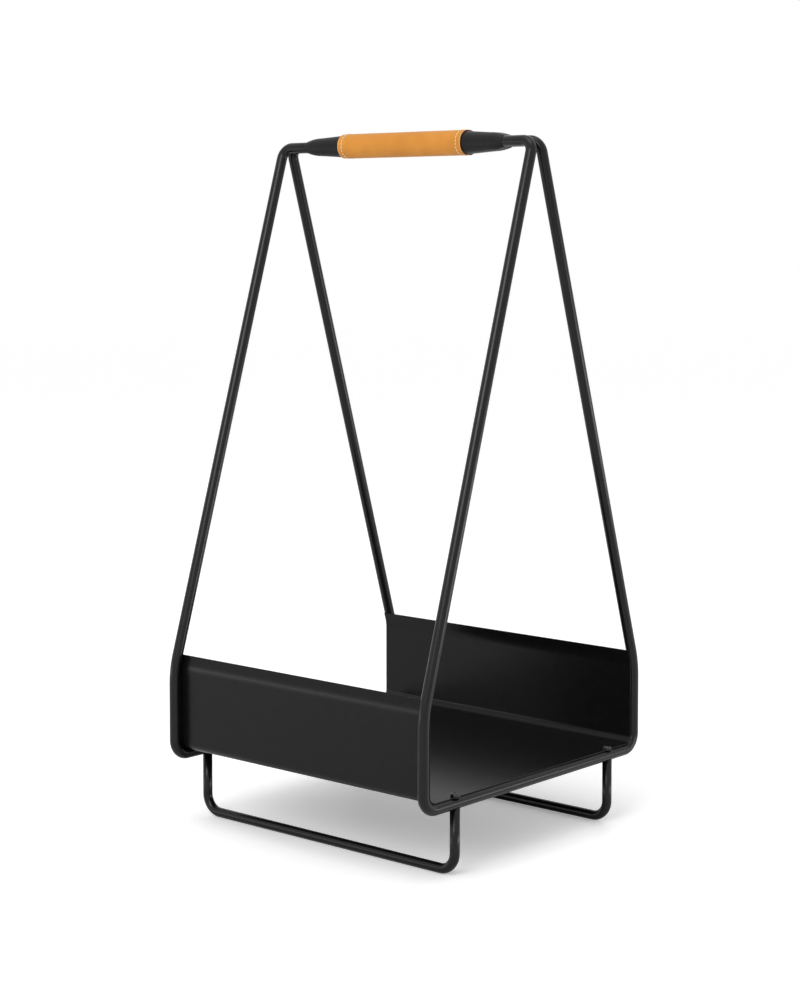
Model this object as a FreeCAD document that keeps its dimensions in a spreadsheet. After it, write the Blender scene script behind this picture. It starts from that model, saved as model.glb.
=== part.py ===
import FreeCAD
import Part
import Sketcher
import math
import os
import re

# Firewood rack: two end frames and two feet of bent rod, a bent-sheet log tray and a leather-wrapped handle.
# Millimetres. The origin is on the ground under the middle of the rack.
# X runs along the handle and the logs, Y from the front lip to the rear lip, Z up.

SIZES = (
    ("frame_length", 367, "between the rod centres of the two end frames"),
    ("frame_depth", 372, "between the rod centres of a frame's front and rear uprights"),
    ("run_height", 77, "ground to the centre of a frame's bottom run"),
    ("side_height", 98.8, "bottom run to the corner where the uprights start to lean in"),
    ("leg_rise", 589.4, "that corner to the centre of the rods in the handle"),
    ("rod_diameter", 12, "end frame rod"),
    ("stub_gap", 0.2, "between the front and rear rod inside the handle"),
    ("stub_end_gap", 20, "between the left and right rods' ends inside the handle"),
    ("top_bend_inside", 7, "inside radius of the bend into the handle"),
    ("shoulder_bend_inside", 107, "inside radius of the bend where the uprights lean in"),
    ("corner_bend_inside", 12.05, "inside radius of the bend from an upright into the bottom run"),
    ("tray_bend_inside", 8.8, "inside radius of the tray's lower bends"),
    ("tray_thickness", 1.2, "tray sheet"),
    ("tray_clearance", 0.05, "between the tray's floor and the bottom runs"),
    ("tray_side_clearance", 1.4, "between the tray's sides and the uprights"),
    ("tray_overlap", 2, "tray sheet past the rod centres at each end"),
    ("lip_fold_height", 101, "bottom run to the corner where the tray's lips lean in"),
    ("lip_bend_inside", 38.8, "inside radius of the bend where the tray's lips lean in"),
    ("lip_rise", 7.75, "straight edge of each lip above its bend"),
    ("lip_edge_rounding", 0.4, "rounding of the lips' top edges"),
    ("foot_diameter", 10.7, "foot rod"),
    ("foot_inset", 50.7, "a frame's upright to the foot beside it"),
    ("foot_bend_inside", 14, "inside radius of a foot's bends"),
    ("saddle_reach", 2, "how far a foot's coped top stands up beside the bottom run"),
    ("saddle_clearance", 0.05, "between a foot's coped top and the bottom run"),
    ("bolt_diameter", 5, "foot bolt thread"),
    ("bolt_length", 25, "foot bolt under its head"),
    ("bolt_head_diameter", 9.5, "foot bolt head"),
    ("bolt_head_height", 2.75, "foot bolt head"),
    ("bolt_head_rim", 0.6, "straight rim of the foot bolt head under its dome"),
    ("bolt_socket_width", 3, "across the flats of the foot bolt's socket"),
    ("bolt_socket_depth", 1.6, "foot bolt's socket"),
    ("bolt_clearance", 0.25, "all round a foot bolt in the tray, washer and bottom run"),
    ("tap_spare", 3, "tapped hole below the foot bolt's end"),
    ("thread_clearance", 0.05, "all round a screw in its tapped hole"),
    ("washer_diameter", 10, "foot bolt washer"),
    ("washer_thickness", 1, "foot bolt washer"),
    ("mouth_setback", 38.5, "end frame's rod centre to the handle core's mouth"),
    ("taper_length", 54.5, "handle core from the leather's end to its mouth"),
    ("nose_length", 20, "rounded-off part of the taper at the mouth"),
    ("bore_clearance", 0.15, "all round the rods in the handle core"),
    ("grip_wall", 6.35, "handle core above and below the rods, under the leather"),
    ("grip_side_wall", 1.75, "handle core in front of and behind the rods, under the leather"),
    ("cheek_wall", 4.1, "handle core above and below the rods, where the nose starts"),
    ("cheek_side_wall", 1.6, "handle core in front of and behind the rods, where the nose starts"),
    ("mouth_wall", 0.35, "handle core all round its mouth"),
    ("set_screw_diameter", 4, "handle set screw"),
    ("set_screw_length", 4, "handle set screw"),
    ("set_screw_inset", 14, "leather's end to the set screw beside it"),
    ("set_screw_socket_width", 2, "across the flats of the set screw's socket"),
    ("set_screw_socket_depth", 2, "set screw's socket"),
    ("leather_thickness", 1.5, "leather wrap"),
    ("leather_clearance", 0.05, "between the leather and the core"),
    ("leather_seam_gap", 0.4, "between the wrap's two edges under the handle"),
    ("stitch_inset", 6.3, "leather's end to the ring of stitches"),
    ("stitch_diameter", 0.9, "sewing thread"),
    ("stitch_clearance", 0.05, "between the thread and the leather"),
    ("seam_stitch_pitch", 6, "along the seam from one stitch to the next"),
    ("seam_stitch_reach", 2.6, "seam stitch to each side of the seam"),
    ("cut_overrun", 5, "past both sides of what a cut goes through"),
)

RING_STITCH_COUNT = 24
STITCH_LENGTH_SHARE = 0.7
HANDLE_ROUNDING_SHARE = 0.48
NOSE_SHARES = (0, 0.35, 0.6, 0.8, 0.93, 1)
NOSE_POWER = 0.75
HEXAGON_SIDES = 6

os.makedirs("parts", exist_ok=True)
doc = FreeCAD.newDocument("firewood_rack")
sheet = doc.addObject("Spreadsheet::Sheet", "Sizes")
for row, (alias, amount, meaning) in enumerate(SIZES, 1):
    sheet.set(f"A{row}", meaning)
    sheet.set(f"B{row}", str(amount))
    sheet.setAlias(f"B{row}", alias)
doc.recompute()

ALIASES = {alias for alias, amount, meaning in SIZES}


# Reading the sheet and tying features to it

def size(expression):
    """The value of an expression in the sheet's sizes."""
    return float(sheet.evalExpression(expression))


def point(x, y, z):
    return FreeCAD.Vector(size(x), size(y), size(z))


def bind(feature, property_name, expression):
    """Tie a feature's property to an expression in the sheet's sizes."""
    def from_sheet(word):
        return "Sizes." + word[0] if word[0] in ALIASES else word[0]
    feature.setExpression(property_name, re.sub(r"[a-z_]+", from_sheet, expression))


def place(feature, x, y, z):
    for axis, expression in zip("xyz", (x, y, z)):
        bind(feature, "Placement.Base." + axis, expression)


# Bent rods: a path of straight runs and tangent arcs, with a round section swept along it

def bent_path(corners, radii):
    """A wire through the corners, with each inner corner rounded to its bend radius."""
    edges = []
    start = corners[0]
    for before, corner, after, radius in zip(corners, corners[1:], corners[2:], radii):
        back = (before - corner).normalize()
        onward = (after - corner).normalize()
        half_angle = back.getAngle(onward) / 2
        reach = radius / math.tan(half_angle)
        bend_start = corner + back * reach
        bend_end = corner + onward * reach
        to_centre = (back + onward).normalize()
        bend_middle = corner + to_centre * (radius / math.sin(half_angle) - radius)
        edges.append(Part.LineSegment(start, bend_start).toShape())
        edges.append(Part.Arc(bend_start, bend_middle, bend_end).toShape())
        start = bend_end
    edges.append(Part.LineSegment(start, corners[-1]).toShape())
    return Part.Wire(edges)


def bent_rod(name, corners, radii, diameter):
    path = doc.addObject("Part::Feature", name + "_path")
    path.Shape = bent_path(corners, radii)
    section = doc.addObject("Part::Circle", name + "_section")
    bind(section, "Radius", diameter + " / 2")
    facing = FreeCAD.Rotation(FreeCAD.Vector(0, 0, 1), corners[1] - corners[0])
    section.Placement = FreeCAD.Placement(corners[0], facing)
    rod = doc.addObject("Part::Sweep", name)
    rod.Sections = [section]
    rod.Spine = (path, [f"Edge{number}" for number, edge in enumerate(path.Shape.Edges, 1)])
    rod.Solid = True
    return rod


def cylinder(name, diameter, length, x, y, z, facing=FreeCAD.Rotation()):
    tool = doc.addObject("Part::Cylinder", name)
    tool.Placement.Rotation = facing
    bind(tool, "Radius", f"({diameter}) / 2")
    bind(tool, "Height", length)
    place(tool, x, y, z)
    return tool


def cut(label, base, tools):
    cutters = doc.addObject("Part::MultiFuse", label + "_cutters")
    cutters.Shapes = tools
    result = doc.addObject("Part::Cut", label)
    result.Base = base
    result.Tool = cutters
    return result


def mirrored(label, source, normal):
    copy = doc.addObject("Part::Mirroring", label)
    copy.Source = source
    copy.Normal = normal
    return copy


ACROSS_X = FreeCAD.Vector(1, 0, 0)
ACROSS_Y = FreeCAD.Vector(0, 1, 0)


def four_corners(label, source):
    """A fastener repeated at all four corners of the rack, as one group."""
    beside = mirrored(source.Name + "_beside", source, ACROSS_X)
    behind = mirrored(source.Name + "_behind", source, ACROSS_Y)
    opposite = mirrored(source.Name + "_opposite", beside, ACROSS_Y)
    group = doc.addObject("Part::Compound", label)
    group.Links = [source, beside, behind, opposite]
    return group


# Sketched bodies

def new_body(label):
    return doc.addObject("PartDesign::Body", label)


def sketch_on(body, name, plane, offset="0"):
    sketch = body.newObject("Sketcher::SketchObject", name)
    support = next(feature for feature in body.Origin.OriginFeatures if feature.Role == plane)
    sketch.AttachmentSupport = [(support, "")]
    sketch.MapMode = "FlatFace"
    bind(sketch, "AttachmentOffset.Base.z", offset)
    return sketch


def fix_point(sketch, edge, end, across, up):
    """Hold one end or centre of an edge at a place given in the sheet's sizes."""
    for direction, expression in (("DistanceX", across), ("DistanceY", up)):
        distance = Sketcher.Constraint(direction, -1, 1, edge, end, size(expression))
        number = sketch.addConstraint(distance)
        bind(sketch, f"Constraints[{number}]", expression)


def draw_outline(sketch, corners):
    """A closed outline of straight edges through the corners."""
    places = [FreeCAD.Vector(size(across), size(up), 0) for across, up in corners]
    first = sketch.GeometryCount
    for number, start in enumerate(places):
        end = places[(number + 1) % len(places)]
        sketch.addGeometry(Part.LineSegment(start, end))
    for number, (across, up) in enumerate(corners):
        edge = first + number
        next_edge = first + (number + 1) % len(corners)
        sketch.addConstraint(Sketcher.Constraint("Coincident", edge, 2, next_edge, 1))
        fix_point(sketch, edge, 1, across, up)


def draw_circle(sketch, across, up, diameter):
    centre = FreeCAD.Vector(size(across), size(up), 0)
    radius = f"({diameter}) / 2"
    edge = sketch.addGeometry(Part.Circle(centre, FreeCAD.Vector(0, 0, 1), size(radius)))
    fix_point(sketch, edge, 3, across, up)
    number = sketch.addConstraint(Sketcher.Constraint("Radius", edge, size(radius)))
    bind(sketch, f"Constraints[{number}]", radius)


def draw_rounded(sketch, depth, height, rounding):
    """A rounded rectangle about the sketch's origin: four sides and four quarter-circle corners."""
    corners = []
    for across_sign, up_sign, turn in ((1, 1, 0), (-1, 1, 90), (-1, -1, 180), (1, -1, 270)):
        centre_across = f"{across_sign} * ({depth} / 2 - {rounding})"
        centre_up = f"{up_sign} * ({height} / 2 - {rounding})"
        centre = FreeCAD.Vector(size(centre_across), size(centre_up), 0)
        circle = Part.Circle(centre, FreeCAD.Vector(0, 0, 1), size(rounding))
        arc = Part.ArcOfCircle(circle, math.radians(turn), math.radians(turn + 90))
        edge = sketch.addGeometry(arc)
        fix_point(sketch, edge, 3, centre_across, centre_up)
        number = sketch.addConstraint(Sketcher.Constraint("Radius", edge, size(rounding)))
        bind(sketch, f"Constraints[{number}]", rounding)
        corners.append(edge)
    for number, edge in enumerate(corners):
        next_edge = corners[(number + 1) % len(corners)]
        start = sketch.getPoint(edge, 2)
        end = sketch.getPoint(next_edge, 1)
        side = sketch.addGeometry(Part.LineSegment(start, end))
        sketch.addConstraint(Sketcher.Constraint("Tangent", edge, 2, side, 1))
        sketch.addConstraint(Sketcher.Constraint("Tangent", side, 2, next_edge, 1))


def draw_hexagon(sketch, width):
    """A hexagon about the sketch's origin, by its width across the flats."""
    corners = []
    for side in range(HEXAGON_SIDES):
        turn = 360 * side / HEXAGON_SIDES
        corners.append((f"{width} / sqrt(3) * cos({turn})", f"{width} / sqrt(3) * sin({turn})"))
    draw_outline(sketch, corners)


def pad(body, name, sketch, length, both_ways=False):
    feature = body.newObject("PartDesign::Pad", name)
    feature.Profile = sketch
    feature.SideType = "Symmetric" if both_ways else "One side"
    bind(feature, "Length", length)
    doc.recompute()
    return feature


def pocket(body, name, sketch, length=None, both_ways=False):
    """Cut a sketch into the body, right through it unless a depth is given."""
    before = body.Shape.Volume
    feature = body.newObject("PartDesign::Pocket", name)
    feature.Profile = sketch
    feature.SideType = "Symmetric" if both_ways else "One side"
    if length:
        bind(feature, "Length", length)
    else:
        feature.Type = "ThroughAll"
    doc.recompute()
    if body.Shape.Volume >= before:
        raise RuntimeError(f"{name} cuts nothing out of {body.Label}")
    return feature


def edge_along_x(shape, depth, height):
    """Name of the lengthwise edge that lies closest to a depth and a height."""
    def distance(numbered):
        middle = numbered[1].BoundBox.Center
        return math.hypot(middle.y - size(depth), middle.z - size(height))
    lengthwise = [
        (number, edge)
        for number, edge in enumerate(shape.Edges, 1)
        if edge.BoundBox.XLength > max(edge.BoundBox.YLength, edge.BoundBox.ZLength)
    ]
    return f"Edge{min(lengthwise, key=distance)[0]}"


def round_edges(body, name, places, radius):
    """Round the body's lengthwise edges at the given depths and heights."""
    base = body.Tip
    feature = body.newObject("PartDesign::Fillet", name)
    feature.Base = (base, [edge_along_x(base.Shape, depth, height) for depth, height in places])
    bind(feature, "Radius", radius)
    doc.recompute()
    return feature


# Places and sizes that several pieces share

frame_x = "(frame_length / 2)"
side_y = "(frame_depth / 2)"
stub_y = "((rod_diameter + stub_gap) / 2)"
foot_y = f"({side_y} - foot_inset)"
shoulder_z = "(run_height + side_height)"
handle_z = f"({shoulder_z} + leg_rise)"
leg_lean = f"atan(({side_y} - {stub_y}) / leg_rise)"
tray_offset = "(rod_diameter / 2 + tray_clearance)"
tray_floor_z = f"(run_height + {tray_offset})"
washer_z = f"({tray_floor_z} + tray_thickness)"
bolt_seat_z = f"({washer_z} + washer_thickness)"
bolt_hole = "(bolt_diameter + 2 * bolt_clearance)"

# End frames
# One solid rod bent to a closed A shape: in from the handle, down the front leg, under the tray
# and up the rear leg. Each bottom run is cross-drilled for the two foot bolts.

front_half = [
    point("stub_end_gap / 2", "-" + stub_y, handle_z),
    point(frame_x, "-" + stub_y, handle_z),
    point(frame_x, "-" + side_y, shoulder_z),
    point(frame_x, "-" + side_y, "run_height"),
]
rear_half = [FreeCAD.Vector(corner.x, -corner.y, corner.z) for corner in reversed(front_half)]
half_bends = [
    size("top_bend_inside + rod_diameter / 2"),
    size("shoulder_bend_inside + rod_diameter / 2"),
    size("corner_bend_inside + rod_diameter / 2"),
]
frame_rod = bent_rod(
    "end_frame_rod", front_half + rear_half, half_bends + half_bends[::-1], "rod_diameter")
run_drills = [
    cylinder(
        f"run_drill_{place_name}", bolt_hole, "rod_diameter + 2 * cut_overrun",
        frame_x, sign + foot_y, "run_height - rod_diameter / 2 - cut_overrun")
    for place_name, sign in (("front", "-"), ("rear", ""))
]
right_end_frame = cut("right_end_frame", frame_rod, run_drills)
left_end_frame = mirrored("left_end_frame", right_end_frame, ACROSS_X)

# Feet
# A thinner rod bent to a U. Each leg's top is coped to sit round the underside of a bottom run
# and is tapped for the bolt that comes down through it.

foot_axis_z = "(foot_diameter / 2)"
foot_top_z = "(run_height - rod_diameter / 2 + saddle_reach)"
tap_z = f"({bolt_seat_z} - bolt_length - tap_spare)"
foot_left = [
    point("-" + frame_x, "-" + foot_y, foot_top_z),
    point("-" + frame_x, "-" + foot_y, foot_axis_z),
]
foot_right = [FreeCAD.Vector(-corner.x, corner.y, corner.z) for corner in reversed(foot_left)]
foot_bend = size("foot_bend_inside + foot_diameter / 2")
foot_rod = bent_rod("foot_rod", foot_left + foot_right, [foot_bend, foot_bend], "foot_diameter")
along_y = FreeCAD.Rotation(ACROSS_X, -90)
foot_cutters = []
for place_name, sign in (("left", "-"), ("right", "")):
    foot_cutters.append(cylinder(
        f"foot_saddle_{place_name}", "rod_diameter + 2 * saddle_clearance",
        "foot_diameter + 2 * cut_overrun",
        sign + frame_x, f"-{foot_y} - foot_diameter / 2 - cut_overrun", "run_height", along_y))
    foot_cutters.append(cylinder(
        f"foot_tap_{place_name}", "bolt_diameter + 2 * thread_clearance",
        f"run_height - {tap_z}", sign + frame_x, "-" + foot_y, tap_z))
front_foot = cut("front_foot", foot_rod, foot_cutters)
rear_foot = mirrored("rear_foot", front_foot, ACROSS_Y)

# Log tray
# One sheet bent up at the front and rear, inside the rods. Its lips lean in with the uprights at a
# tighter bend, so the load presses them against the rods at the shoulder. A round ear at each corner
# of the floor takes a foot bolt.


def tray_corners(inward):
    """Front lip, lip corner and lower corner of the tray's section, so far in from its outer face."""
    depth = f"({side_y} - rod_diameter / 2 - tray_side_clearance - {inward})"
    corner = f"(run_height + lip_fold_height - {inward} * tan({leg_lean} / 2))"
    lip = f"((lip_bend_inside + tray_thickness - {inward}) * tan({leg_lean} / 2) + lip_rise)"
    lip_edge = (f"{depth} - {lip} * sin({leg_lean})", f"{corner} + {lip} * cos({leg_lean})")
    return [lip_edge, (depth, corner), (depth, f"{tray_floor_z} + {inward}")]


def in_front(corners):
    return [(f"-({depth})", height) for depth, height in corners]


outer = tray_corners("0")
inner = tray_corners("tray_thickness")
log_tray = new_body("log_tray")
tray_section = sketch_on(log_tray, "tray_section", "YZ_Plane")
draw_outline(tray_section, in_front(outer) + outer[::-1] + inner + in_front(inner)[::-1])
pad(log_tray, "tray_sheet", tray_section, "frame_length + 2 * tray_overlap", both_ways=True)
for name, faces, radius in (
    ("inner_lower_bends", (in_front(inner)[2], inner[2]), "tray_bend_inside"),
    ("outer_lower_bends", (in_front(outer)[2], outer[2]), "tray_bend_inside + tray_thickness"),
    ("inner_lip_bends", (in_front(inner)[1], inner[1]), "lip_bend_inside"),
    ("outer_lip_bends", (in_front(outer)[1], outer[1]), "lip_bend_inside + tray_thickness"),
    ("lip_edges", (in_front(outer)[0], outer[0], in_front(inner)[0], inner[0]), "lip_edge_rounding"),
):
    round_edges(log_tray, name, faces, radius)
ear_outlines = sketch_on(log_tray, "ear_outlines", "XY_Plane", tray_floor_z)
ear_holes = sketch_on(log_tray, "ear_holes", "XY_Plane", tray_floor_z)
for across_sign in ("-", ""):
    for up_sign in ("-", ""):
        draw_circle(ear_outlines, across_sign + frame_x, up_sign + foot_y, "rod_diameter")
        draw_circle(ear_holes, across_sign + frame_x, up_sign + foot_y, bolt_hole)
pad(log_tray, "tray_ears", ear_outlines, "tray_thickness")
pocket(log_tray, "tray_bolt_holes", ear_holes, both_ways=True)

# Foot bolts and washers
# Button-head bolts with a hexagon socket, put in from inside the tray. Each clamps the tray's ear
# and the bottom run onto the foot leg below.

washer = new_body("foot_bolt_washer")
washer_ring = sketch_on(washer, "washer_ring", "XY_Plane")
draw_circle(washer_ring, "0", "0", "washer_diameter")
draw_circle(washer_ring, "0", "0", bolt_hole)
pad(washer, "washer_disc", washer_ring, "washer_thickness")
place(washer, frame_x, "-" + foot_y, washer_z)
foot_bolt_washers = four_corners("foot_bolt_washers", washer)

bolt = new_body("foot_bolt")
bolt_section = sketch_on(bolt, "bolt_section", "XZ_Plane")
draw_outline(bolt_section, [
    ("0", "-bolt_length"),
    ("bolt_diameter / 2", "-bolt_length"),
    ("bolt_diameter / 2", "0"),
    ("bolt_head_diameter / 2", "0"),
    ("bolt_head_diameter / 2", "bolt_head_height"),
    ("0", "bolt_head_height"),
])
bolt_turning = bolt.newObject("PartDesign::Revolution", "bolt_turning")
bolt_turning.Profile = bolt_section
bolt_turning.ReferenceAxis = (bolt_section, ["V_Axis"])
doc.recompute()
head_edge = max(
    enumerate(bolt_turning.Shape.Edges, 1),
    key=lambda numbered: numbered[1].BoundBox.ZMin + numbered[1].BoundBox.XLength)
bolt_dome = bolt.newObject("PartDesign::Fillet", "bolt_dome")
bolt_dome.Base = (bolt_turning, [f"Edge{head_edge[0]}"])
bind(bolt_dome, "Radius", "bolt_head_height - bolt_head_rim")
doc.recompute()
bolt_socket = sketch_on(bolt, "bolt_socket", "XY_Plane", "bolt_head_height")
draw_hexagon(bolt_socket, "bolt_socket_width")
pocket(bolt, "bolt_socket_cut", bolt_socket, "bolt_socket_depth")
place(bolt, frame_x, "-" + foot_y, bolt_seat_z)
foot_bolts = four_corners("foot_bolts", bolt)

# Handle core
# A moulded sleeve over the four rod ends. It is fullest under the leather, tapers towards each end
# and rounds off at the mouths. Its bore holds the rods side by side, and it is tapped from below
# for the set screws.

core_half = f"({frame_x} - mouth_setback)"
grip_half = f"({core_half} - taper_length)"
bore_depth = "(2 * rod_diameter + stub_gap + 2 * bore_clearance)"
bore_height = "(rod_diameter + 2 * bore_clearance)"
grip_depth = f"({bore_depth} + 2 * grip_side_wall)"
grip_height = f"({bore_height} + 2 * grip_wall)"
set_screw_x = f"({grip_half} + set_screw_inset)"


def handle_rounding(depth, height):
    return f"({HANDLE_ROUNDING_SHARE} * min({depth}; {height}))"


half_stations = [(grip_half, grip_depth, grip_height)]
for share in NOSE_SHARES:
    fullness = (1 - share ** 2) ** NOSE_POWER
    half_stations.append((
        f"({core_half} - nose_length * {1 - share})",
        f"({bore_depth} + 2 * (mouth_wall + (cheek_side_wall - mouth_wall) * {fullness}))",
        f"({bore_height} + 2 * (mouth_wall + (cheek_wall - mouth_wall) * {fullness}))",
    ))
stations = [("-" + x, depth, height) for x, depth, height in reversed(half_stations)] + half_stations
handle_core = new_body("handle_core")
core_sections = []
for number, (x, depth, height) in enumerate(stations, 1):
    section = sketch_on(handle_core, f"core_section_{number}", "YZ_Plane", x)
    draw_rounded(section, depth, height, handle_rounding(depth, height))
    core_sections.append(section)
core_form = handle_core.newObject("PartDesign::AdditiveLoft", "core_form")
core_form.Profile = core_sections[0]
core_form.Sections = core_sections[1:]
core_form.Ruled = True
doc.recompute()
bore_section = sketch_on(handle_core, "bore_section", "YZ_Plane")
draw_rounded(bore_section, bore_depth, bore_height, handle_rounding(bore_depth, bore_height))
pocket(handle_core, "rod_bore", bore_section, both_ways=True)
screw_holes = sketch_on(handle_core, "screw_holes", "XY_Plane")
for across_sign in ("-", ""):
    for up_sign in ("-", ""):
        draw_circle(
            screw_holes, across_sign + set_screw_x, up_sign + stub_y,
            "set_screw_diameter + 2 * thread_clearance")
pocket(handle_core, "set_screw_taps", screw_holes)
place(handle_core, "0", "0", handle_z)

# Set screws
# Headless socket screws, one under each rod end. Each bears on its rod and stays below the surface.

set_screw = new_body("set_screw")
screw_section = sketch_on(set_screw, "screw_section", "XY_Plane")
draw_circle(screw_section, "0", "0", "set_screw_diameter")
pad(set_screw, "screw_blank", screw_section, "set_screw_length")
screw_socket = sketch_on(set_screw, "screw_socket", "XY_Plane", "set_screw_socket_depth")
draw_hexagon(screw_socket, "set_screw_socket_width")
pocket(set_screw, "screw_socket_cut", screw_socket, "set_screw_socket_depth")
place(
    set_screw, set_screw_x, "-" + stub_y,
    f"{handle_z} - rod_diameter / 2 - thread_clearance - set_screw_length")
handle_set_screws = four_corners("handle_set_screws", set_screw)

# Leather grip
# One piece of leather wrapped round the core, with its two edges meeting in a seam underneath.

core_rounding = handle_rounding(grip_depth, grip_height)
leather_inside = "leather_clearance"
leather_outside = "(leather_clearance + leather_thickness)"
leather_grip = new_body("leather_grip")
wrap_section = sketch_on(leather_grip, "wrap_section", "YZ_Plane")
for offset in (leather_inside, leather_outside):
    draw_rounded(
        wrap_section, f"({grip_depth} + 2 * {offset})", f"({grip_height} + 2 * {offset})",
        f"({core_rounding} + {offset})")
pad(leather_grip, "wrap", wrap_section, f"2 * {grip_half}", both_ways=True)
seam_slot = sketch_on(leather_grip, "seam_slot", "XY_Plane")
slot_end = f"({grip_half} + cut_overrun)"
draw_outline(seam_slot, [
    ("-" + slot_end, "-leather_seam_gap / 2"),
    (slot_end, "-leather_seam_gap / 2"),
    (slot_end, "leather_seam_gap / 2"),
    ("-" + slot_end, "leather_seam_gap / 2"),
])
pocket(leather_grip, "seam", seam_slot)
place(leather_grip, "0", "0", handle_z)

# Stitching
# Waxed thread in a ring of short stitches near each end of the leather, and a row of stitches
# across the seam underneath. Each stitch is a round-ended length of thread lying on the leather.

stitch_radius = size("stitch_diameter / 2")
stitch_offset = f"({leather_outside} + stitch_clearance + stitch_diameter / 2)"


def stitch(start, end):
    """A thread of round section from start to end, with a half ball at each."""
    run = end - start
    length = run.Length
    slant = stitch_radius * math.sqrt(0.5)
    outline = [
        Part.Arc(
            FreeCAD.Vector(-stitch_radius, 0, 0), FreeCAD.Vector(-slant, slant, 0),
            FreeCAD.Vector(0, stitch_radius, 0)),
        Part.LineSegment(FreeCAD.Vector(0, stitch_radius, 0), FreeCAD.Vector(length, stitch_radius, 0)),
        Part.Arc(
            FreeCAD.Vector(length, stitch_radius, 0), FreeCAD.Vector(length + slant, slant, 0),
            FreeCAD.Vector(length + stitch_radius, 0, 0)),
        Part.LineSegment(
            FreeCAD.Vector(length + stitch_radius, 0, 0), FreeCAD.Vector(-stitch_radius, 0, 0)),
    ]
    half_section = Part.Face(Part.Wire([edge.toShape() for edge in outline]))
    thread = half_section.revolve(FreeCAD.Vector(), ACROSS_X, 360)
    thread.Placement = FreeCAD.Placement(start, FreeCAD.Rotation(ACROSS_X, run))
    return thread


def thread_ring(x):
    """A closed line round the leather at x, at the height of the thread's centre, from the seam on."""
    rounding = size(f"{core_rounding} + {stitch_offset}")
    half_depth = size(f"{grip_depth} / 2 + {stitch_offset}")
    half_height = size(f"{grip_height} / 2 + {stitch_offset}")
    start = FreeCAD.Vector(x, 0, -half_height)
    corners = [
        FreeCAD.Vector(x, half_depth * across, half_height * up)
        for across, up in ((1, -1), (1, 1), (-1, 1), (-1, -1))
    ]
    return bent_path([start] + corners + [start], [rounding] * len(corners))


def stitching(label, stitches):
    piece = doc.addObject("Part::Feature", label)
    piece.Shape = Part.makeCompound(stitches)
    piece.Placement = FreeCAD.Placement(point("0", "0", handle_z), FreeCAD.Rotation())
    return piece


def ring_point(ring, distance):
    """The place a given distance along a wire."""
    for edge in ring.OrderedEdges:
        if distance <= edge.Length:
            return edge.valueAt(edge.getParameterByLength(distance))
        distance -= edge.Length
    return ring.OrderedVertexes[-1].Point


def ring_stitches(x):
    ring = thread_ring(x)
    pitch = ring.Length / RING_STITCH_COUNT
    stitches = []
    for number in range(RING_STITCH_COUNT):
        middle = pitch * (number + 0.5)
        half_thread = pitch * STITCH_LENGTH_SHARE / 2 - stitch_radius
        ends = [ring_point(ring, middle - half_thread), ring_point(ring, middle + half_thread)]
        stitches.append(stitch(*ends))
    return stitches


def seam_stitches():
    reach = size(f"{grip_half} - 2 * stitch_inset")
    pitch = size("seam_stitch_pitch")
    count = int(2 * reach / pitch) + 1
    first = -pitch * (count - 1) / 2
    side = size("seam_stitch_reach")
    height = -size(f"{grip_height} / 2 + {stitch_offset}")
    return [
        stitch(FreeCAD.Vector(first + pitch * number, -side, height),
               FreeCAD.Vector(first + pitch * number, side, height))
        for number in range(count)
    ]


ring_x = size(f"{grip_half} - stitch_inset")
left_grip_stitching = stitching("left_grip_stitching", ring_stitches(-ring_x))
right_grip_stitching = stitching("right_grip_stitching", ring_stitches(ring_x))
grip_seam_stitching = stitching("grip_seam_stitching", seam_stitches())

# Checks and files

pieces = (
    left_end_frame, right_end_frame, log_tray, front_foot, rear_foot, foot_bolts, foot_bolt_washers,
    handle_core, handle_set_screws, leather_grip, left_grip_stitching, right_grip_stitching,
    grip_seam_stitching,
)
doc.recompute()
for feature in doc.Objects:
    if "Invalid" in feature.State or "Error" in feature.State:
        raise RuntimeError(f"{feature.Label} failed: {feature.State}")
for piece in pieces:
    if piece.Shape.isNull() or not piece.Shape.isValid():
        raise RuntimeError(f"{piece.Label} has no valid shape")
for piece in pieces:
    piece.Shape.exportStep(f"parts/{piece.Label}.step")
    print(piece.Label, len(piece.Shape.Solids), "solids", round(piece.Shape.Volume), "mm3")
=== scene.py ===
import math

import bpy
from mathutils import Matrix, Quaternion, Vector, noise


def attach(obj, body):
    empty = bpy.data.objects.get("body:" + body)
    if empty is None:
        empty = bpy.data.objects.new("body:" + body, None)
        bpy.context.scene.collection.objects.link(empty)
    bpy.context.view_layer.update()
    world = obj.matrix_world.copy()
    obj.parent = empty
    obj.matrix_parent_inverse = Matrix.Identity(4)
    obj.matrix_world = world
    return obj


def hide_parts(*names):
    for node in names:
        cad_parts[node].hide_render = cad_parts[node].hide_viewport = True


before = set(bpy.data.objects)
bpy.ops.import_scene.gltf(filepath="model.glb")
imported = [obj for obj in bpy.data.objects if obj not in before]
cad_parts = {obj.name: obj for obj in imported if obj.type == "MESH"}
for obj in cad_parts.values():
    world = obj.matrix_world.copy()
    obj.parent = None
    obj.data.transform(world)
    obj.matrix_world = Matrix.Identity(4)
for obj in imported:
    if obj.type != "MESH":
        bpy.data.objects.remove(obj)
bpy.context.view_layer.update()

# End frames
# Each end is one 12 mm steel rod, cold bent to an A that closes under the tray, with both tips turned in
# to the handle. It is powder coated satin black, so it has a fine orange peel and a soft sheen.

mm = 0.001
rod_radius = 6 * mm
frame_x = 183.5 * mm
side_y = 186 * mm
run_z = 77 * mm
shoulder_z = 175.8 * mm
handle_z = 765.2 * mm
tip_x = 10 * mm
tip_y = 6.1 * mm
top_bend = 13 * mm
shoulder_bend = 113 * mm
corner_bend = 18.05 * mm
leg_lean = math.atan2(side_y - tip_y, handle_z - shoulder_z)
bend_step = math.radians(3)
fewest_bend_steps = 10
rod_sides = 48
mottle_range = (0.3, 0.7)


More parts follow.
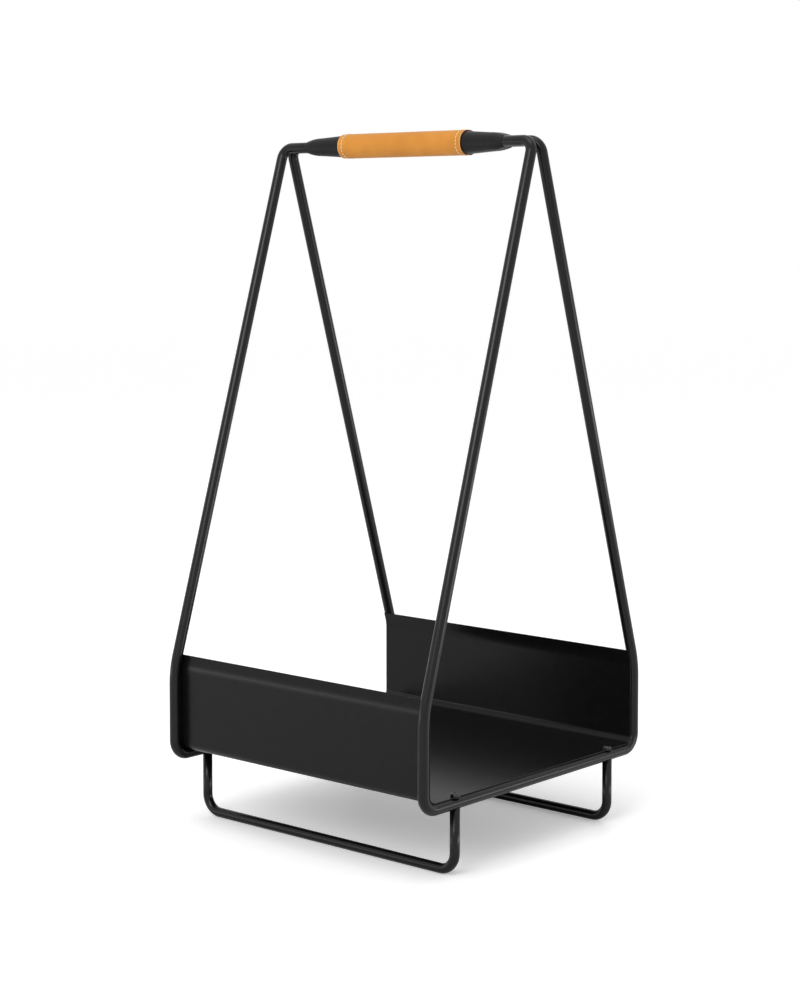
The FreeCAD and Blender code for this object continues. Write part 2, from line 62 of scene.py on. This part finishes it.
def bent_line(corners, bends):
    """Places and headings along straight runs joined by round bends."""
    line = [(corners[0], (corners[1] - corners[0]).normalized())]
    for before, corner, after, bend in zip(corners, corners[1:], corners[2:], bends):
        back = (before - corner).normalized()
        onward = (after - corner).normalized()
        half = back.angle(onward) / 2
        centre = corner + (back + onward).normalized() * (bend / math.sin(half))
        spoke = corner + back * (bend / math.tan(half)) - centre
        turn = math.pi - 2 * half
        steps = max(fewest_bend_steps, math.ceil(turn / bend_step))
        for step in range(steps + 1):
            turned = Quaternion(spoke.cross(-back), turn * step / steps)
            line.append((centre + turned @ spoke, turned @ -back))
    line.append((corners[-1], (corners[-1] - corners[-2]).normalized()))
    return line


def round_bar(line, radius):
    """Rings of points round a bent line."""
    before = line[0][1]
    across = before.orthogonal().normalized()
    turns = [math.tau * side / rod_sides for side in range(rod_sides)]
    rings = []
    for place, heading in line:
        across = before.rotation_difference(heading) @ across
        up = heading.cross(across)
        rings.append([place + (across * math.cos(turn) + up * math.sin(turn)) * radius for turn in turns])
        before = heading
    return rings


def skin(rings, closed=False):
    """Faces between rings of points, with the two end rings filled unless the rings close on themselves."""
    count = len(rings[0])
    points = [point for ring in rings for point in ring]
    faces = []
    for row in range(len(rings) if closed else len(rings) - 1):
        low = row * count
        high = (row + 1) % len(rings) * count
        for side in range(count):
            after = (side + 1) % count
            faces.append((low + side, low + after, high + after, high + side))
    if not closed:
        faces.append(tuple(reversed(range(count))))
        faces.append(tuple(range(len(points) - count, len(points))))
    return points, faces


def show(name, points, faces, materials, marks=None):
    """A smooth-shaded piece made from its points and faces, with each face's material if it has several."""
    mesh = bpy.data.meshes.new(name)
    mesh.from_pydata([tuple(point) for point in points], [], faces)
    for material in materials:
        mesh.materials.append(material)
    if marks:
        mesh.polygons.foreach_set("material_index", marks)
    mesh.shade_smooth()
    piece = bpy.data.objects.new(name, mesh)
    bpy.context.collection.objects.link(piece)
    return piece


class Finish:
    """A material whose colour, roughness and relief vary over its piece, in blotches counted per metre."""

    def __init__(self, name, sheen=0.5, metal=0.0):
        self.material = bpy.data.materials.new(name)
        self.material.use_nodes = True
        self.nodes = self.material.node_tree.nodes
        self.links = self.material.node_tree.links
        self.shader = self.nodes["Principled BSDF"].inputs
        self.shader["Specular IOR Level"].default_value = sheen
        self.shader["Metallic"].default_value = metal

    def texture(self, kind, per_metre):
        """A texture laid over the piece at its real size."""
        texture = self.nodes.new(kind)
        texture.inputs["Scale"].default_value = per_metre
        place = self.nodes.new("ShaderNodeTexCoord").outputs["Object"]
        self.links.new(place, texture.inputs["Vector"])
        return texture

    def mottle(self, per_metre, detail):
        """Soft random mottling."""
        noise_texture = self.texture("ShaderNodeTexNoise", per_metre)
        noise_texture.inputs["Detail"].default_value = detail
        return noise_texture.outputs[0]

    def colour(self, per_metre, detail, dark, light):
        """Two colours mixed by mottling."""
        ramp = self.nodes.new("ShaderNodeValToRGB")
        for stop, position, shade in zip(ramp.color_ramp.elements, mottle_range, (dark, light)):
            stop.position = position
            stop.color = (*shade, 1)
        self.links.new(self.mottle(per_metre, detail), ramp.inputs["Fac"])
        self.links.new(ramp.outputs["Color"], self.shader["Base Color"])

    def roughness(self, per_metre, detail, low, high):
        """A surface that goes from smoother to rougher with mottling."""
        stretch = self.nodes.new("ShaderNodeMapRange")
        for name, value in zip(("From Min", "From Max", "To Min", "To Max"), (*mottle_range, low, high)):
            stretch.inputs[name].default_value = value
        self.links.new(self.mottle(per_metre, detail), stretch.inputs["Value"])
        self.links.new(stretch.outputs["Result"], self.shader["Roughness"])

    def relief(self, value, height, strength):
        """Bumps of so many metres, on top of any relief already there."""
        bump = self.nodes.new("ShaderNodeBump")
        bump.inputs["Distance"].default_value = height
        bump.inputs["Strength"].default_value = strength
        self.links.new(value, bump.inputs["Height"])
        for earlier in self.shader["Normal"].links:
            self.links.new(earlier.from_socket, bump.inputs["Normal"])
        self.links.new(bump.outputs["Normal"], self.shader["Normal"])

    def grain(self, per_metre, height, strength, detail=2):
        """Relief that follows mottling."""
        self.relief(self.mottle(per_metre, detail), height, strength)


def powder_coat(name, dark, light, rough, sheen):
    """Baked satin coating: near-black, with an orange peel of about a millimetre and finer grit."""
    coat = Finish(name, sheen)
    coat.colour(per_metre=90, detail=6, dark=(dark,) * 3, light=(light,) * 3)
    coat.roughness(per_metre=160, detail=4, low=rough - 0.02, high=rough + 0.025)
    coat.grain(per_metre=900, height=0.05 * mm, strength=0.35)
    coat.grain(per_metre=4200, height=0.012 * mm, strength=0.4)
    return coat.material


frame_coating = powder_coat("satin_black_coating", dark=0.0035, light=0.006, rough=0.23, sheen=0.26)
for side, name in ((-1, "left_end_frame"), (1, "right_end_frame")):
    x = side * frame_x
    front = [
        Vector((side * tip_x, -tip_y, handle_z)),
        Vector((x, -tip_y, handle_z)),
        Vector((x, -side_y, shoulder_z)),
        Vector((x, -side_y, run_z)),
    ]
    rear = [Vector((corner.x, -corner.y, corner.z)) for corner in reversed(front)]
    bends = (top_bend, shoulder_bend, corner_bend)
    line = bent_line(front + rear, bends + bends[::-1])
    rod = show(f"{name}_rod", *skin(round_bar(line, rod_radius)), [frame_coating])
    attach(rod, "root")
    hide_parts(name)

# Feet
# Each foot is a thinner rod bent to a wide U that stands on its straight run. Its leg tops are coped to
# the end frames' bottom rods and tapped for a bolt, and it has the same satin black coating.

foot_radius = 5.35 * mm
foot_y = 135.3 * mm
foot_bend = 19.35 * mm
foot_top = 73 * mm

for side, name in ((-1, "front_foot"), (1, "rear_foot")):
    y = side * foot_y
    corners = [
        Vector((-frame_x, y, foot_top)),
        Vector((-frame_x, y, foot_radius)),
        Vector((frame_x, y, foot_radius)),
        Vector((frame_x, y, foot_top)),
    ]
    rings = round_bar(bent_line(corners, (foot_bend, foot_bend)), foot_radius)
    for ring in (rings[0], rings[-1]):
        for point in ring:
            across = abs(point.x) - frame_x
            point.z = min(foot_top, run_z - math.sqrt(rod_radius ** 2 - across ** 2))
    foot = show(f"{name}_rod", *skin(rings), [frame_coating])
    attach(foot, "root")
    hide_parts(name)

# Log tray
# One 1.2 mm steel sheet folded up along the front and the rear, its lips folded in to lean with the rods.
# It lies on the frames' bottom rods, reaches past them in a round ear at each bolt, and is coated like them.

sheet = 1.2 * mm
seat_gap = 0.05 * mm
side_gap = 1.4 * mm
tray_end = 185.5 * mm
ear_root = 0.92 * tray_end
ear_radius = 6 * mm
ear_steps = 24
fold = 10 * mm
fold_steps = 16
lip_height = 101 * mm
lip_bend = 40 * mm
lip_rise = 7.75 * mm
lip_steps = 12
deburring = 0.4 * mm
deburring_steps = 3
sharp_edge = math.radians(50)
tray_y = side_y - rod_radius - side_gap
tray_z = run_z + rod_radius + seat_gap
lean_z = run_z + lip_height - lip_bend * math.tan(leg_lean / 2)
floor_turn = -math.pi / 2


def sheet_bend(middle_y, middle_z, radius, start, end, steps):
    """Places on the sheet's outer face along a bend, each with the turn of its way out."""
    turns = [start + (end - start) * step / steps for step in range(steps + 1)]
    return [(middle_y + radius * math.cos(turn), middle_z + radius * math.sin(turn), turn) for turn in turns]


tray_coating = powder_coat("satin_black_sheet_coating", dark=0.003, light=0.005, rough=0.24, sheen=0.17)
section = sheet_bend(tray_y - lip_bend, lean_z, lip_bend, leg_lean, 0, lip_steps)
lip_y, lip_z, _ = section[0]
lip_edge = (lip_y - lip_rise * math.sin(leg_lean), lip_z + lip_rise * math.cos(leg_lean), leg_lean)
section.insert(0, lip_edge)
section += sheet_bend(tray_y - fold, tray_z + fold, fold, 0, floor_turn, fold_steps)
for step in range(ear_steps + 1):
    section.append((foot_y + ear_radius * math.cos(math.pi * step / ear_steps), tray_z, floor_turn))
section.append((0, tray_z, floor_turn))
profile = [(-y, z, -math.cos(turn), math.sin(turn)) for y, z, turn in section]
profile += [(y, z, math.cos(turn), math.sin(turn)) for y, z, turn in reversed(section[:-1])]
rings = []
for y, z, out_y, out_z in profile:
    from_bolt = abs(abs(y) - foot_y)
    end = tray_end
    if from_bolt < ear_radius:
        end = max(tray_end, frame_x + math.sqrt(ear_radius ** 2 - from_bolt ** 2))
    places = (end, ear_root, 0, -ear_root, -end)
    outside = [(x, y, z) for x in places]
    inside = [(x, y - out_y * sheet, z - out_z * sheet) for x in reversed(places)]
    rings.append(outside + inside)
tray = show("log_tray_sheet", *skin(rings), [tray_coating])
edge = tray.modifiers.new("deburred_edge", "BEVEL")
edge.width = deburring
edge.segments = deburring_steps
edge.limit_method = "ANGLE"
edge.angle_limit = sharp_edge
edge.harden_normals = True
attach(tray, "root")
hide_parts("log_tray")

# Foot bolts, washers and set screws
# Blackened steel button-head bolts on plain washers clamp the tray and the frames to the feet, and four
# small set screws under the handle bear on the rod tips. All are turned steel with a thin black oxide.

black_oxide = Finish("black_oxide_steel", metal=1.0)
black_oxide.colour(per_metre=700, detail=4, dark=(0.035, 0.035, 0.038), light=(0.075, 0.073, 0.072))
black_oxide.roughness(per_metre=1500, detail=3, low=0.32, high=0.48)
black_oxide.grain(per_metre=5000, height=0.01 * mm, strength=0.5)
for name in ("foot_bolts", "foot_bolt_washers", "handle_set_screws"):
    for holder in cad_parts[name].material_slots:
        holder.material = black_oxide.material

# Handle core
# A moulded black nylon sleeve that takes the four rod tips in one flat bore. Its middle is an even oval
# under the leather, and both ends taper to a rounded nose, with the fine matt texture of the mould.

core_end = 145 * mm
nose_start = 125 * mm
grip_end = 90.5 * mm
core_depth, core_height = 28 * mm, 25 * mm
cheek_depth, cheek_height = 27.7 * mm, 20.5 * mm
mouth_depth, mouth_height = 24.6 * mm, 12.4 * mm
bore_depth, bore_height = 24.4 * mm, 12.2 * mm
core_roundness = 0.48
core_sides = 96
nose_fullness = 1.8
mouth_lead = 0.3 * mm
bore_start = 2 * mm
middle_steps, taper_steps, nose_steps = 6, 12, 16


def oval_point(depth, height, rounding, share):
    """A place on a rounded oblong and the way out there, by the share of the way round from underneath."""
    flat = depth / 2 - rounding
    side = height / 2 - rounding
    quarter = rounding * math.pi / 2
    runs = (flat, quarter, 2 * side, quarter, 2 * flat, quarter, 2 * side, quarter, flat)
    left = share % 1 * sum(runs)
    place = Vector((0, -height / 2))
    angle = 0
    for number, run in enumerate(runs):
        step = min(left, run)
        if number % 2:
            centre = place + rounding * Vector((-math.sin(angle), math.cos(angle)))
            angle += step / rounding
            place = centre + rounding * Vector((math.sin(angle), -math.cos(angle)))
        else:
            place = place + step * Vector((math.cos(angle), math.sin(angle)))
        left -= step
        if left <= 0:
            break
    return place, Vector((math.sin(angle), -math.cos(angle)))


def core_ring(x, depth, height):
    """Points round the sleeve at one place along it."""
    rounding = core_roundness * min(depth, height)
    ring = []
    for side in range(core_sides):
        place, _ = oval_point(depth, height, rounding, side / core_sides)
        ring.append(Vector((x, place.x, handle_z + place.y)))
    return ring


def between(start, end, share):
    """A value that lies so far from one to the other."""
    return start + (end - start) * share


core_plastic = Finish("matt_black_nylon", sheen=0.2)
core_plastic.colour(per_metre=120, detail=5, dark=(0.004, 0.004, 0.004), light=(0.007, 0.007, 0.0068))
core_plastic.roughness(per_metre=260, detail=4, low=0.38, high=0.48)
core_plastic.grain(per_metre=3200, height=0.03 * mm, strength=0.4, detail=3)
half = [(grip_end * step / middle_steps, core_depth, core_height) for step in range(middle_steps + 1)]
for step in range(1, taper_steps + 1):
    part = step / taper_steps
    half.append((
        between(grip_end, nose_start, part),
        between(core_depth, cheek_depth, part),
        between(core_height, cheek_height, part),
    ))
for step in range(1, nose_steps + 1):
    turn = math.pi / 2 * step / nose_steps
    part = 1 - math.cos(turn) ** nose_fullness
    half.append((
        between(nose_start, core_end, math.sin(turn)),
        between(cheek_depth, mouth_depth, part),
        between(cheek_height, mouth_height, part),
    ))
half.append((core_end - mouth_lead, bore_depth, bore_height))
half.append((core_end - bore_start, bore_depth, bore_height))
stations = [(-x, depth, height) for x, depth, height in reversed(half)] + half[1:]
rings = [core_ring(*station) for station in stations]
core = show("handle_core_sleeve", *skin(rings, closed=True), [core_plastic.material])
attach(core, "root")
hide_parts("handle_core")

# Leather grip
# One piece of 1.5 mm vegetable-tanned cowhide, wetted, wrapped tight round the core and closed with a butt
# seam underneath. The grain side is tan and smooth, and each end has a cut edge burnished dark and a bevel
# painted pale tan as a painted highlight where the rounded edge catches the light. The stitches pull the
# leather in.

leather = 1.5 * mm
leather_gap = 0.05 * mm
grip_depth = core_depth + 2 * (leather + leather_gap)
grip_height = core_height + 2 * (leather + leather_gap)
grip_rounding = core_roundness * core_height + leather + leather_gap
grip_girth = 2 * (grip_depth + grip_height - 4 * grip_rounding) + math.tau * grip_rounding
edge_rounding = 0.45 * mm
edge_steps = 5
burnished_rows, painted_highlight_rows = 3, 4
wave_height, wave_length, waves_round, wave_slice = 0.05 * mm, 14 * mm, 9, 2.5
wave_room = 0.07 * mm
stitch_x = grip_end - 6.3 * mm
ring_stitches = 24
groove_depth, groove_width = 0.16 * mm, 0.8 * mm
hole_depth, hole_width, hole_sharpness = 0.45 * mm, 0.6 * mm, 4
pucker_depth, pucker_reach = 0.09 * mm, 2.4 * mm
seam_gap = 0.4 * mm
seam_stitches = 26
seam_pitch = 6 * mm
seam_reach = 2.6 * mm
seam_dip, seam_dip_width = 0.45 * mm, 5 * mm
seam_hole_depth, seam_hole_width = 0.16 * mm, 0.7 * mm
cuff = 14 * mm
cuff_steps, length_steps, round_steps = 40, 76, 240
inner_spacing = 5


def bell(distance, width):
    """A soft dip, one at its middle and fading out with distance."""
    return math.exp(-(distance / width) ** 2)


def leather_drop(x, share):
    """How far the leather's face lies under its full thickness at one place."""
    from_end = grip_end - abs(x)
    from_ring = abs(abs(x) - stitch_x)
    from_seam = min(share, 1 - share) * grip_girth - seam_gap / 2
    hole = 0.5 + 0.5 * math.cos(math.tau * ring_stitches * share)
    drop = wave_room + wave_height * noise.noise(Vector((x / wave_length, share * waves_round, wave_slice)))
    drop += groove_depth * bell(from_ring, groove_width)
    drop += hole_depth * hole ** hole_sharpness * bell(from_ring, hole_width)
    drop += pucker_depth * hole * math.exp(-from_ring / pucker_reach)
    for distance in (from_end, from_seam):
        if distance < edge_rounding:
            reach = 1 - max(distance, 0) / edge_rounding
            drop += edge_rounding * (1 - math.sqrt(1 - reach * reach))
    drop += seam_dip * max(0, 1 - (from_seam / seam_dip_width) ** 2) ** 2
    if abs(x) < seam_stitches / 2 * seam_pitch:
        hole = 0.5 - 0.5 * math.cos(math.tau * x / seam_pitch)
        drop += seam_hole_depth * hole * bell(from_seam - seam_reach, seam_hole_width)
    return drop


def on_grip(x, share, rise):
    """A place so far above the leather's full thickness, and the way out there."""
    place, out = oval_point(grip_depth, grip_height, grip_rounding, share)
    place = place + out * rise
    return Vector((x, place.x, handle_z + place.y)), Vector((0, out.x, out.y))


grain_side = Finish("tan_leather", sheen=0.28)
grain_side.colour(per_metre=45, detail=6, dark=(0.52, 0.202, 0.023), light=(0.592, 0.24, 0.031))
grain_side.roughness(per_metre=400, detail=4, low=0.46, high=0.58)
pores = grain_side.texture("ShaderNodeTexVoronoi", per_metre=1300)
pores.feature = "DISTANCE_TO_EDGE"
grain_side.relief(pores.outputs["Distance"], height=0.08 * mm, strength=0.5)
grain_side.grain(per_metre=260, height=0.14 * mm, strength=0.3, detail=5)
burnished_edge = Finish("burnished_leather_edge")
burnished_edge.colour(per_metre=900, detail=5, dark=(0.1, 0.034, 0.011), light=(0.2, 0.072, 0.024))
burnished_edge.roughness(per_metre=700, detail=3, low=0.4, high=0.55)
burnished_edge.grain(per_metre=2500, height=0.05 * mm, strength=0.5, detail=4)
# The bevel rows are painted a paler tan: a painted highlight on the rounded grain edge.
bevel_highlight_paint = Finish("leather_bevel_painted_highlight", sheen=0.28)
bevel_highlight_paint.colour(per_metre=600, detail=4, dark=(0.58, 0.3, 0.085), light=(0.65, 0.37, 0.13))
bevel_highlight_paint.roughness(per_metre=700, detail=3, low=0.42, high=0.56)
bevel_highlight_paint.grain(per_metre=2500, height=0.04 * mm, strength=0.4, detail=4)

rounded = [edge_rounding * (1 - math.cos(math.pi / 2 * step / edge_steps)) for step in range(edge_steps + 1)]
shares = [(seam_gap / 2 + reach) / grip_girth for reach in rounded]
face_start, face_end = shares[-1], 1 - shares[-1]
edge_shares = [1 - share for share in reversed(shares)]
shares += [between(face_start, face_end, step / round_steps) for step in range(1, round_steps)] + edge_shares
inner_shares = shares[::inner_spacing]
places = [grip_end - reach for reach in rounded]
places += [between(places[-1], grip_end - cuff, step / cuff_steps) for step in range(1, cuff_steps + 1)]
places += [between(grip_end - cuff, 0, step / length_steps) for step in range(1, length_steps + 1)]
places = [-x for x in places] + places[-2::-1]
rings = []
for x in places:
    outside = [on_grip(x, share, -leather_drop(x, share))[0] for share in shares]
    inside = [on_grip(x, share, -leather)[0] for share in reversed(inner_shares)]
    rings.append(outside + inside)
points, faces = skin(rings)
count = len(rings[0])
face_mark, burnished_mark, painted_highlight_mark = range(3)
seam_faces = (len(shares) - 1, count - 1)
marks = [burnished_mark if number % count in seam_faces else face_mark for number in range(len(faces))]
# The first rows at each end are the burnished cut edge, and the next rows carry the bevel's painted
# highlight.
for row in range(burnished_rows + painted_highlight_rows):
    mark = burnished_mark if row < burnished_rows else painted_highlight_mark
    for at in (row, len(places) - 2 - row):
        marks[at * count:(at + 1) * count] = [mark] * count
marks[-2:] = [burnished_mark, burnished_mark]
leather_finishes = [grain_side.material, burnished_edge.material, bevel_highlight_paint.material]
grip = show("leather_wrap", points, faces, leather_finishes, marks)
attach(grip, "root")
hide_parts("leather_grip")

# Stitching
# Waxed cream linen thread of two twisted plies. A running stitch goes round each end of the grip, and
# single stitches across the butt seam draw its two edges together underneath.

thread_radius = 0.45 * mm
thread_sides = 14
thread_sink = 0.75 * mm
plies = 2
ply_lay = 2.4 * mm
ply_share = 0.12
stitch_steps = 14
stitch_flatness = 5
ring_share = 0.7
ring_lift = 0.75 * thread_radius
seam_lift = 0.3 * thread_radius

thread = Finish("waxed_cream_thread", sheen=0.3)
thread.colour(per_metre=1800, detail=4, dark=(0.84, 0.60, 0.33), light=(0.95, 0.74, 0.45))
thread.roughness(per_metre=2500, detail=3, low=0.5, high=0.65)
thread.grain(per_metre=7000, height=0.03 * mm, strength=0.6)


def on_leather(x, share, part, lift):
    """A place along a stitch that comes up through the leather, lies on it and goes down again."""
    rise = between(-thread_sink, lift, 1 - abs(2 * part - 1) ** stitch_flatness)
    return on_grip(x, share, rise - leather_drop(x, share))


def twisted_thread(path):
    """Rings of points round one stitch, from its places and the ways out of the leather there."""
    rings = []
    run = 0
    for number, (place, out) in enumerate(path):
        before = path[max(number - 1, 0)][0]
        after = path[min(number + 1, len(path) - 1)][0]
        run += (place - before).length
        heading = (after - before).normalized()
        across = out.cross(heading).normalized()
        up = heading.cross(across)
        ring = []
        for side in range(thread_sides):
            turn = math.tau * side / thread_sides
            ply = 1 - ply_share + ply_share * math.cos(plies * turn - math.tau * run / ply_lay)
            ring.append(place + (across * math.cos(turn) + up * math.sin(turn)) * thread_radius * ply)
        rings.append(ring)
    return rings


def sew(name, paths):
    """All the stitches of one row as one piece."""
    points = []
    faces = []
    for path in paths:
        more_points, more_faces = skin(twisted_thread(path))
        faces += [tuple(corner + len(points) for corner in face) for face in more_faces]
        points += more_points
    row = show(f"{name}_thread", points, faces, [thread.material])
    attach(row, "root")
    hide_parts(name)


parts = [step / stitch_steps for step in range(stitch_steps + 1)]
for side, name in ((-1, "left_grip_stitching"), (1, "right_grip_stitching")):
    paths = []
    for number in range(ring_stitches):
        shares = [(number + 0.5 + (part - 0.5) * ring_share) / ring_stitches for part in parts]
        paths.append([on_leather(side * stitch_x, *at, ring_lift) for at in zip(shares, parts)])
    sew(name, paths)
shares = [between(-seam_reach, seam_reach, part) / grip_girth for part in parts]
paths = []
for number in range(seam_stitches):
    x = (number - (seam_stitches - 1) / 2) * seam_pitch
    paths.append([on_leather(x, *at, seam_lift) for at in zip(shares, parts)])
sew("grip_seam_stitching", paths)

# Floor, light and camera
# A plain white floor in an even white room, with one soft lamp overhead, a wide one in front and a low
# strip on each side, seen from in front and to the right at about the height of the handle.

floor_half = 30
floor_white = (0.93, 0.93, 0.93, 1)
floor_glow = (0.28, 0.28, 0.28, 1)
room_light, room_seen = 0.7, 1.0
lamp_target = Vector((0, 0, 0.4))
camera_place = (1.5824, -1.8372, 0.6717)
camera_dip = math.radians(3.257)
camera_turn = math.radians(40.897)

floor_mesh = bpy.data.meshes.new("floor")
corners = [(x * floor_half, y * floor_half, 0) for x, y in ((-1, -1), (1, -1), (1, 1), (-1, 1))]
floor_mesh.from_pydata(corners, [], [(0, 1, 2, 3)])
floor = bpy.data.objects.new("floor", floor_mesh)
bpy.context.collection.objects.link(floor)
floor_paint = Finish("white_floor", sheen=0.2)
floor_paint.shader["Base Color"].default_value = floor_white
floor_paint.shader["Roughness"].default_value = 0.5
floor_paint.shader["Emission Color"].default_value = floor_glow
seen = floor_paint.nodes.new("ShaderNodeLightPath").outputs["Is Camera Ray"]
floor_paint.links.new(seen, floor_paint.shader["Emission Strength"])
floor_mesh.materials.append(floor_paint.material)

room = bpy.data.worlds.new("white_room")
bpy.context.scene.world = room
room.use_nodes = True
nodes = room.node_tree.nodes
links = room.node_tree.links
rays = nodes.new("ShaderNodeLightPath")
seen = rays.outputs["Is Camera Ray"]
for way in ("Is Glossy Ray", "Is Transmission Ray"):
    either = nodes.new("ShaderNodeMath")
    either.operation = "ADD"
    either.use_clamp = True
    links.new(seen, either.inputs[0])
    links.new(rays.outputs[way], either.inputs[1])
    seen = either.outputs[0]
level = nodes.new("ShaderNodeMapRange")
level.inputs["To Min"].default_value = room_light
level.inputs["To Max"].default_value = room_seen
links.new(seen, level.inputs["Value"])
background = nodes["Background"].inputs
background["Color"].default_value = (1, 1, 1, 1)
links.new(level.outputs["Result"], background["Strength"])

for name, place, width, height, brightness in (
    ("overhead_softbox", (0.2, -0.5, 2.8), 1.8, 1.4, 1.95),
    ("front_softbox", (0.45, -2.25, 1.67), 1.5, 1.02, 5.0),
    ("low_left_strip", (-1.64, -1.89, 0.15), 1.6, 0.22, 3.2),
    ("low_right_strip", (2.1, 1.25, 0.14), 1.7, 0.22, 8.0),
):
    lamp = bpy.data.lights.new(name, "AREA")
    lamp.shape = "RECTANGLE"
    lamp.size = width
    lamp.size_y = height
    lamp.energy = brightness * math.pi * width * height
    softbox = bpy.data.objects.new(name, lamp)
    softbox.location = place
    softbox.rotation_euler = (Vector(place) - lamp_target).to_track_quat("Z", "Y").to_euler()
    softbox.visible_camera = False
    bpy.context.collection.objects.link(softbox)

lens = bpy.data.cameras.new("camera")
lens.sensor_width = 36
lens.lens = 77.61
lens.shift_y = -0.1491
camera = bpy.data.objects.new("camera", lens)
camera.location = camera_place
camera.rotation_euler = (math.pi / 2 - camera_dip, 0, camera_turn)
bpy.context.collection.objects.link(camera)
bpy.context.scene.camera = camera
bpy.context.scene.view_settings.view_transform = "Standard"
